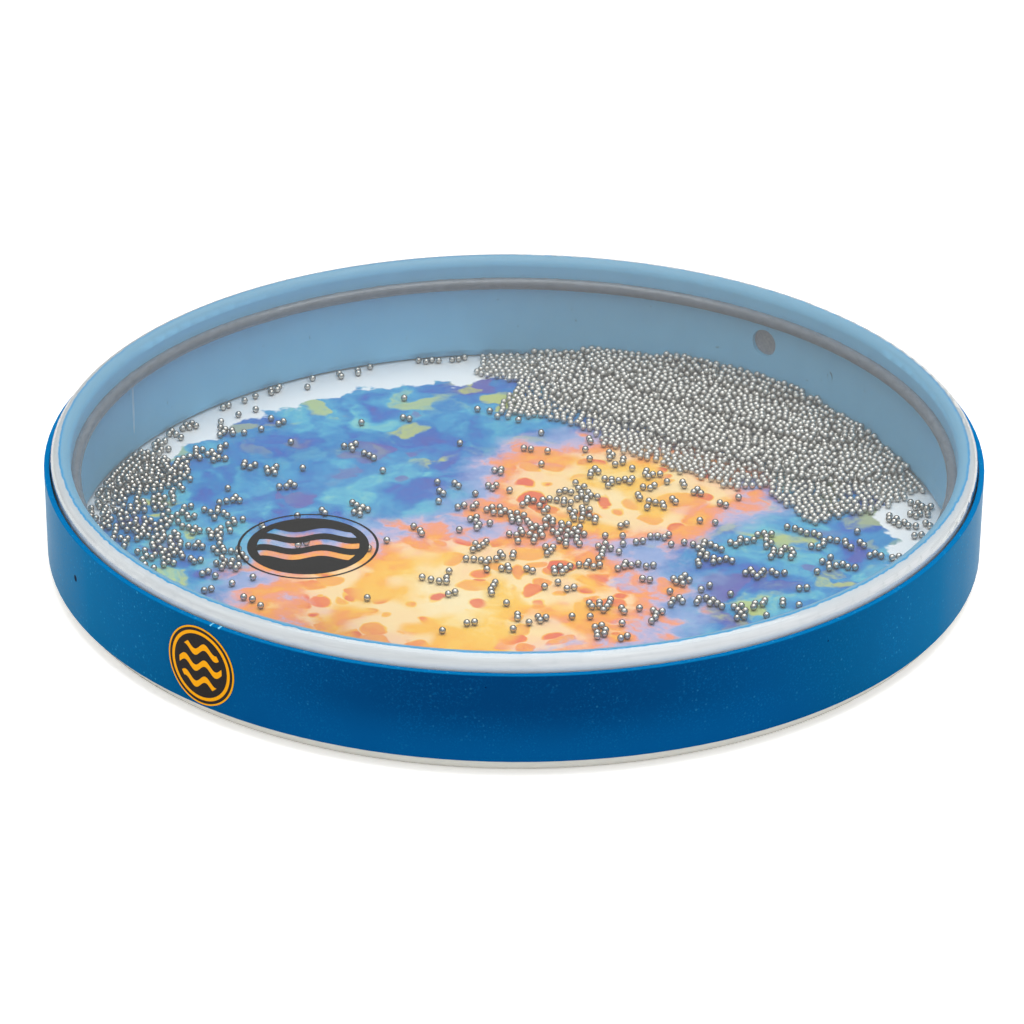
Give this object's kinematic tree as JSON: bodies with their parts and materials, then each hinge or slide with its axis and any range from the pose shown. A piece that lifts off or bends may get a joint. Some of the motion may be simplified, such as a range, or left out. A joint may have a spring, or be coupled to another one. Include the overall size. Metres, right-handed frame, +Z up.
{
  "type": "ocean drum",
  "caption": "Shallow round frame drum with a clear top head, a printed bottom head and small steel shot inside that rolls and hisses like surf when the drum is tilted.",
  "frame": {"origin": "Centre of the underside of the bottom head, on the drum's axis and in the plane it rests on", "axes": "+Z up towards the clear head, -Y towards the viewer of the picture, +X to the viewer's right"},
  "size_m": [0.4056, 0.4056, 0.052],
  "materials": {
    "hoop_blue": "satin, with fine pale speckle",
    "tape_white": "matt",
    "label_black": "satin",
    "shell_fibre": "pressed fibre, matt",
    "ring_paint": "light blue inside, white outside",
    "liner_blue": "matt",
    "seal_grey": "slightly shiny",
    "clear_film": "clear",
    "printed_film": "glossy, printed inside",
    "shot_steel": "bright"
  },
  "bodies": {
    "drum": {"outer_hoop": "hoop_blue", "hoop_tape": "tape_white", "hoop_label": "label_black", "shell_core": "shell_fibre", "upper_bearing_ring": "ring_paint", "lower_bearing_ring": "ring_paint", "inner_liner": "liner_blue", "seal_ring": "seal_grey", "fill_hole_plug": "shell_fibre", "top_head": "clear_film", "bottom_head": "printed_film"},
    "left_shot": {"shot_left_rim": "shot_steel", "shot_left_inner": "shot_steel"},
    "pile_shot": {"shot_pile_bed_1": "shot_steel", "shot_pile_bed_2": "shot_steel", "shot_pile_bed_3": "shot_steel", "shot_pile_bed_4": "shot_steel", "shot_pile_bed_5": "shot_steel", "shot_pile_middle_1": "shot_steel", "shot_pile_middle_2": "shot_steel", "shot_pile_middle_3": "shot_steel", "shot_pile_upper": "shot_steel", "shot_pile_top": "shot_steel"},
    "loose_shot": {"shot_loose_back": "shot_steel", "shot_loose_left": "shot_steel", "shot_loose_centre": "shot_steel", "shot_loose_front": "shot_steel", "shot_loose_right": "shot_steel"}
  },
  "joints": [
    {"name": "shot_swirl", "type": "hinge", "parent": "drum", "child": "left_shot", "pos_m": [0, 0, 0], "axis": [0, 0, 1], "continuous": true},
    {"name": "pile_fall", "type": "slide", "parent": "left_shot", "child": "pile_shot", "axis": [0, 0, 1], "range_m": [0, 0.0242]},
    {"name": "loose_fall", "type": "slide", "parent": "left_shot", "child": "loose_shot", "axis": [0, 0, 1], "range_m": [0, 0.0328]}
  ]
}
